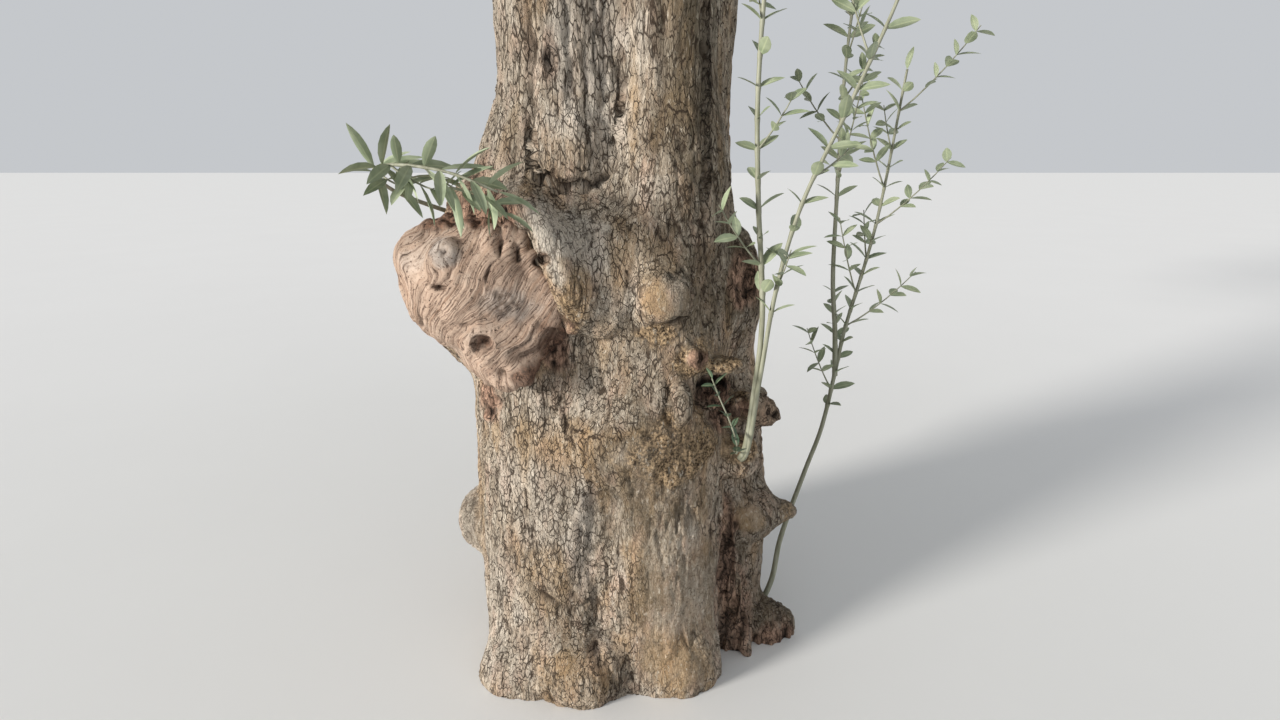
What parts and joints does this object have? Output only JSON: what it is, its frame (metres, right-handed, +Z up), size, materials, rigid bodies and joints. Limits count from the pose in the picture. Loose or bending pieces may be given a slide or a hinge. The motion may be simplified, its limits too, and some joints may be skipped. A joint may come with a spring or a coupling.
{
  "type": "olive tree",
  "caption": "Old olive tree with a short, thick, knotted trunk, a bare burl where a limb was cut, stout boughs, an open grey-green crown and young shoots.",
  "frame": {"origin": "middle of the flat cut under the trunk, at ground level, below the middle of the trunk", "axes": "+Z up; the front of the trunk, with the burl on its left, faces -Y; +X to the right seen from the front"},
  "size_m": [5.2427, 5.2518, 5.9392],
  "materials": {
    "bark": "rough, cracked bark in small upright plates, warm grey-brown",
    "bare_wood": "dry, weathered wood without bark, with a swirling grain",
    "leaves": "leathery leaves, grey-green above and silvery below",
    "young_shoots": "smooth young bark, grey-green"
  },
  "bodies": {
    "root": {"trunk": "bark", "burl": "bare_wood", "bough_left": "bark", "bough_front": "bark", "bough_right": "bark", "bough_back": "bark", "limb_skirt_1": "bark", "limb_skirt_2": "bark", "limb_skirt_3": "bark", "limb_skirt_4": "bark", "limb_skirt_5": "bark", "limb_skirt_6": "bark", "limb_skirt_7": "bark", "limb_top": "bark", "foliage_skirt_1": "leaves", "foliage_skirt_2": "leaves", "foliage_skirt_3": "leaves", "foliage_skirt_4": "leaves", "foliage_skirt_5": "leaves", "foliage_skirt_6": "leaves", "foliage_skirt_7": "leaves", "foliage_shoulder_left": "leaves", "foliage_shoulder_front": "leaves", "foliage_shoulder_right": "leaves", "foliage_shoulder_back": "leaves", "foliage_top": "leaves", "shoot_twin": "young_shoots", "shoot_root": "young_shoots", "shoot_hollow": "young_shoots", "shoot_burl": "young_shoots"}
  },
  "joints": []
}
